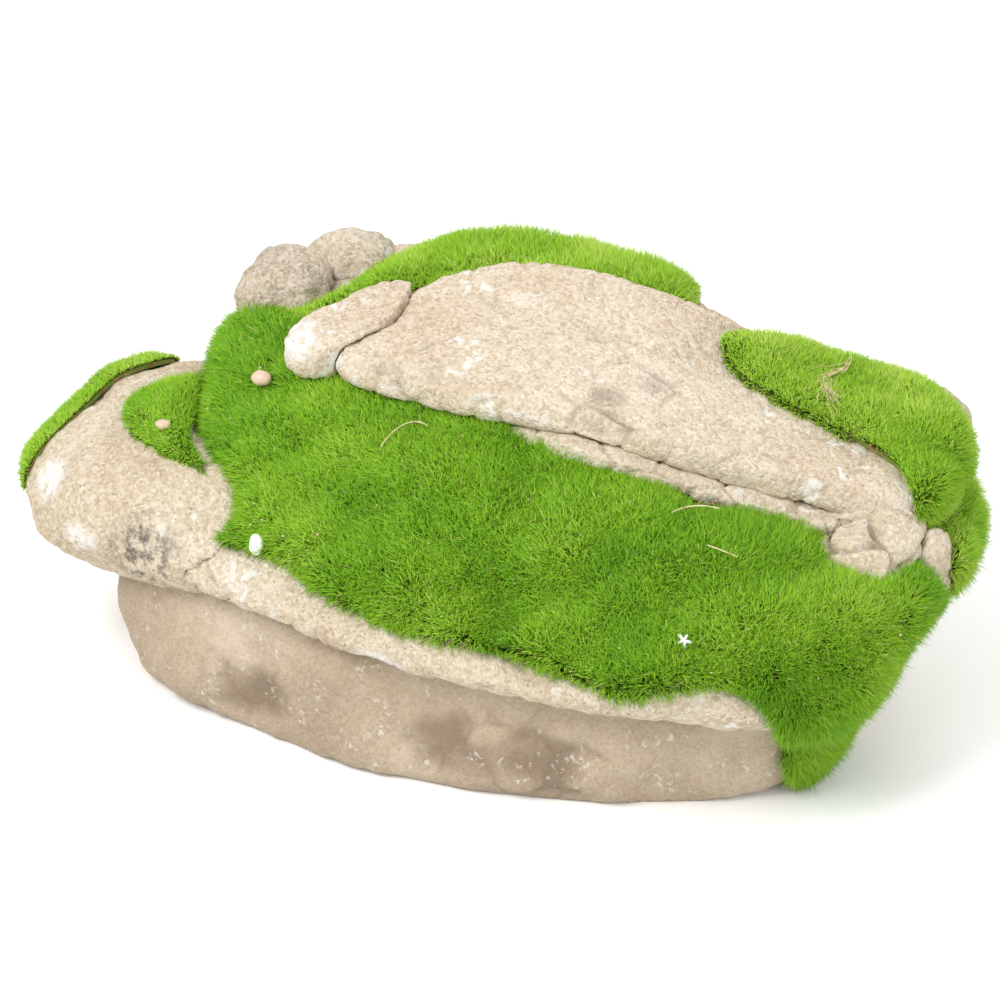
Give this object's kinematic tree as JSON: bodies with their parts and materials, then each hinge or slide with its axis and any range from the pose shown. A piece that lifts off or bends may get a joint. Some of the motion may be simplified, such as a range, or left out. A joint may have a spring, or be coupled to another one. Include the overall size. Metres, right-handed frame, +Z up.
{
  "type": "resin cave ornament",
  "caption": "Free-standing aquarium rock of glued resin castings with artificial moss, hollow inside, with a cave mouth at the rear and an open underside.",
  "frame": {"origin": "middle of the overall box in plan, on the surface that the ornament stands on", "axes": "+X along the length, towards the layered right end; -Y is the mossy front; +Y the rear with the cave mouth; +Z up"},
  "size_m": [0.2488, 0.1342, 0.099],
  "materials": {
    "base_resin": "cast polyresin, brown stone wash, slightly smooth",
    "sandstone_resin": "cast polyresin with a sanded stone surface",
    "slab_resin": "cast polyresin with a sanded stone surface and white patches",
    "weathered_resin": "cast polyresin with a grey weathered wash",
    "adhesive_bed": "red-brown flocking adhesive",
    "moss_pile": "bright green nylon flock fibres",
    "white_chip": "smooth white pebble",
    "pink_chip": "smooth pinkish pebble",
    "dry_root": "dry plant fibre"
  },
  "bodies": {
    "root": {"base_casting": "base_resin", "corner_moss_bed": "adhesive_bed", "corner_moss_pile": "moss_pile", "dry_strand_front": "dry_root", "dry_strand_left": "dry_root", "dry_strand_right": "dry_root", "front_moss_bed": "adhesive_bed", "front_moss_pile": "moss_pile", "left_boulder": "sandstone_resin", "left_moss_bed": "adhesive_bed", "left_moss_pile": "moss_pile", "petal_scrap": "white_chip", "pink_pebble": "pink_chip", "rear_knob_left": "weathered_resin", "rear_knob_right": "weathered_resin", "rear_right_stone": "weathered_resin", "ridge_moss_bed": "adhesive_bed", "ridge_moss_pile": "moss_pile", "right_chip": "sandstone_resin", "right_side_moss_bed": "adhesive_bed", "right_side_moss_pile": "moss_pile", "right_strata_lower": "sandstone_resin", "right_strata_upper": "sandstone_resin", "right_top_moss_bed": "adhesive_bed", "right_top_moss_pile": "moss_pile", "root_tuft": "dry_root", "slab_stratum": "slab_resin", "summit_slab": "slab_resin", "summit_wedge": "slab_resin", "tongue_moss_bed": "adhesive_bed", "tongue_moss_pile": "moss_pile", "tongue_pebble": "pink_chip", "upper_casting": "sandstone_resin", "white_pebble": "white_chip"}
  },
  "joints": []
}
